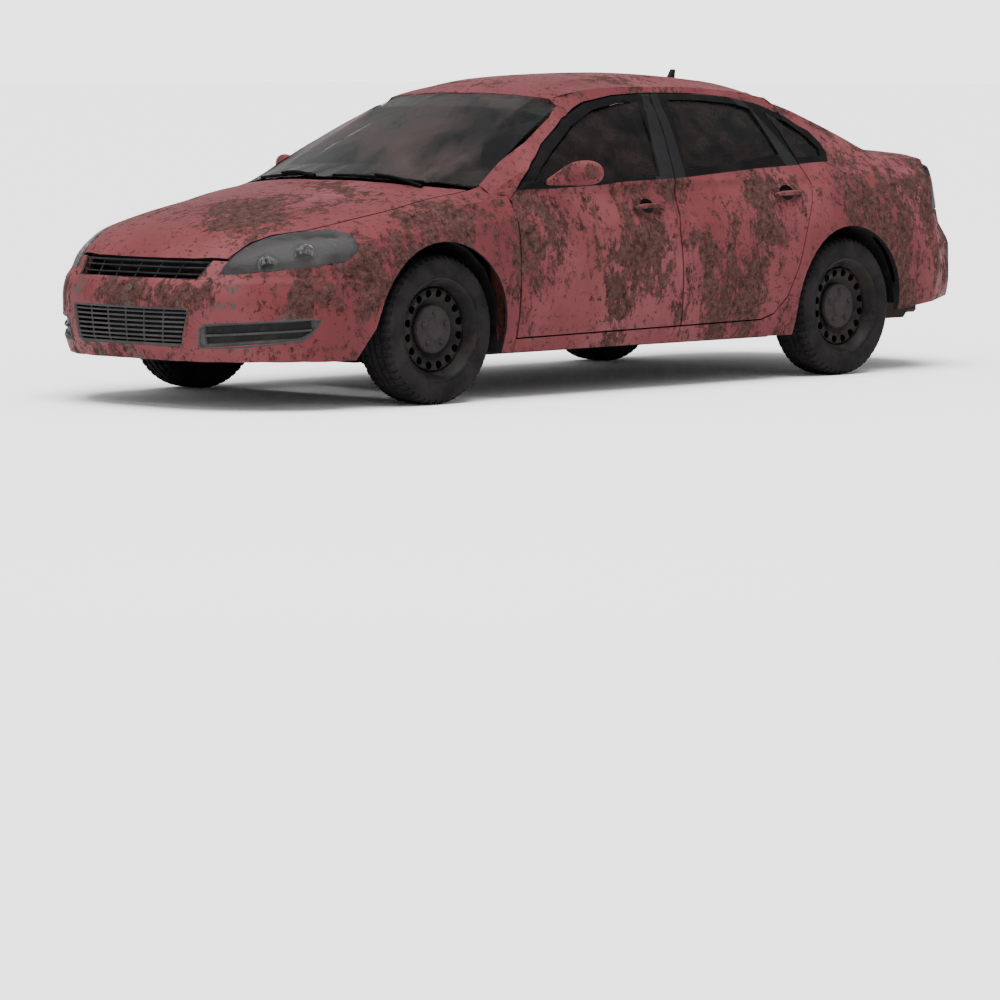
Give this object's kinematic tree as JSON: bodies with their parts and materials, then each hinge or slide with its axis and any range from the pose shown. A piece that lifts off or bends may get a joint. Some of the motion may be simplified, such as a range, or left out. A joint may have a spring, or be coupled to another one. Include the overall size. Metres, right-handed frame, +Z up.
{
  "type": "rusty saloon car wreck",
  "caption": "Rust-eaten four-door saloon car on its wheels, with opening doors, bonnet and boot lid, steered front wheels and an empty plate recess.",
  "frame": {"origin": "on the ground under the middle of the car's length and width", "axes": "+X forward, +Y to the car's left, +Z up"},
  "size_m": [5.0899, 2.17, 1.494],
  "materials": {
    "rusty_paint": "matte, rusty and dusty",
    "black_plastic": "dusty",
    "dirty_steel": "dirty",
    "tyre_rubber": "dusty",
    "dirty_glass": "dirty and scratched",
    "lamp_lens": "dirty",
    "seat_cloth": "dusty"
  },
  "bodies": {
    "car": {"side_frame_left": "rusty_paint", "front_fender_left": "rusty_paint", "headlamp_left": "lamp_lens", "tail_lamp_left": "lamp_lens", "glass_quarter_left": "dirty_glass", "front_seat_left": "seat_cloth", "side_frame_right": "rusty_paint", "front_fender_right": "rusty_paint", "headlamp_right": "lamp_lens", "tail_lamp_right": "lamp_lens", "glass_quarter_right": "dirty_glass", "front_seat_right": "seat_cloth", "roof_panel": "rusty_paint", "front_bumper": "rusty_paint", "rear_bumper": "rusty_paint", "upper_grille": "black_plastic", "lower_grille": "black_plastic", "windshield": "dirty_glass", "rear_window": "dirty_glass", "floor_pan": "black_plastic", "engine_bay": "black_plastic", "boot_floor": "black_plastic", "dashboard": "black_plastic", "rear_seat": "seat_cloth", "engine_block": "dirty_steel", "exhaust": "dirty_steel", "front_subframe": "dirty_steel", "rear_axle": "dirty_steel"},
    "hood": {"hood": "rusty_paint"},
    "trunk_lid": {"trunk_lid": "rusty_paint"},
    "door_front_left": {"door_front_left": "rusty_paint", "glass_front_left": "dirty_glass", "mirror_left": "rusty_paint"},
    "door_rear_left": {"door_rear_left": "rusty_paint", "glass_rear_left": "dirty_glass"},
    "knuckle_left": {"knuckle_left": "dirty_steel"},
    "wheel_front_left": {"tyre_front_left": "tyre_rubber", "rim_front_left": "dirty_steel"},
    "wheel_rear_left": {"tyre_rear_left": "tyre_rubber", "rim_rear_left": "dirty_steel"},
    "door_front_right": {"door_front_right": "rusty_paint", "glass_front_right": "dirty_glass", "mirror_right": "rusty_paint"},
    "door_rear_right": {"door_rear_right": "rusty_paint", "glass_rear_right": "dirty_glass"},
    "knuckle_right": {"knuckle_right": "dirty_steel"},
    "wheel_front_right": {"tyre_front_right": "tyre_rubber", "rim_front_right": "dirty_steel"},
    "wheel_rear_right": {"tyre_rear_right": "tyre_rubber", "rim_rear_right": "dirty_steel"},
    "steering_wheel": {"steering_wheel": "black_plastic"}
  },
  "joints": [
    {"name": "hood_hinge", "type": "hinge", "parent": "car", "child": "hood", "pos_m": [1.145, 0, 0.915], "axis": [0, -1, 0], "range_deg": [0, 50]},
    {"name": "trunk_hinge", "type": "hinge", "parent": "car", "child": "trunk_lid", "pos_m": [-1.94, 0, 1.05], "axis": [0, 1, 0], "range_deg": [0, 75]},
    {"name": "door_front_left_hinge", "type": "hinge", "parent": "car", "child": "door_front_left", "pos_m": [0.93, 0.914, 0.6], "axis": [0, 0, -1], "range_deg": [0, 67]},
    {"name": "door_rear_left_hinge", "type": "hinge", "parent": "car", "child": "door_rear_left", "pos_m": [-0.16, 0.914, 0.6], "axis": [0, 0, -1], "range_deg": [0, 67]},
    {"name": "door_front_right_hinge", "type": "hinge", "parent": "car", "child": "door_front_right", "pos_m": [0.93, -0.914, 0.6], "axis": [0, 0, 1], "range_deg": [0, 67]},
    {"name": "door_rear_right_hinge", "type": "hinge", "parent": "car", "child": "door_rear_right", "pos_m": [-0.16, -0.914, 0.6], "axis": [0, 0, 1], "range_deg": [0, 67]},
    {"name": "steer_left", "type": "hinge", "parent": "car", "child": "knuckle_left", "pos_m": [1.428, 0.69, 0.3], "axis": [0, 0, 1], "range_deg": [-33, 33]},
    {"name": "steer_right", "type": "hinge", "parent": "car", "child": "knuckle_right", "pos_m": [1.428, -0.69, 0.3], "axis": [0, 0, 1], "range_deg": [-33, 33]},
    {"name": "steering_wheel_turn", "type": "hinge", "parent": "car", "child": "steering_wheel", "pos_m": [0.545, 0.385, 0.8], "axis": [-0.9062, 0, 0.4229], "range_deg": [-495, 495]},
    {"name": "wheel_front_left_spin", "type": "hinge", "parent": "knuckle_left", "child": "wheel_front_left", "pos_m": [1.428, 0.77, 0.33511], "axis": [0, 1, 0], "continuous": true},
    {"name": "wheel_rear_left_spin", "type": "hinge", "parent": "car", "child": "wheel_rear_left", "pos_m": [-1.379, 0.77, 0.33511], "axis": [0, 1, 0], "continuous": true},
    {"name": "wheel_front_right_spin", "type": "hinge", "parent": "knuckle_right", "child": "wheel_front_right", "pos_m": [1.428, -0.77, 0.33511], "axis": [0, 1, 0], "continuous": true},
    {"name": "wheel_rear_right_spin", "type": "hinge", "parent": "car", "child": "wheel_rear_right", "pos_m": [-1.379, -0.77, 0.33511], "axis": [0, 1, 0], "continuous": true}
  ],
  "couplings": [
    {"joint": "steer_right", "follows": "steer_left", "ratio": 1},
    {"joint": "steering_wheel_turn", "follows": "steer_left", "ratio": 15}
  ]
}
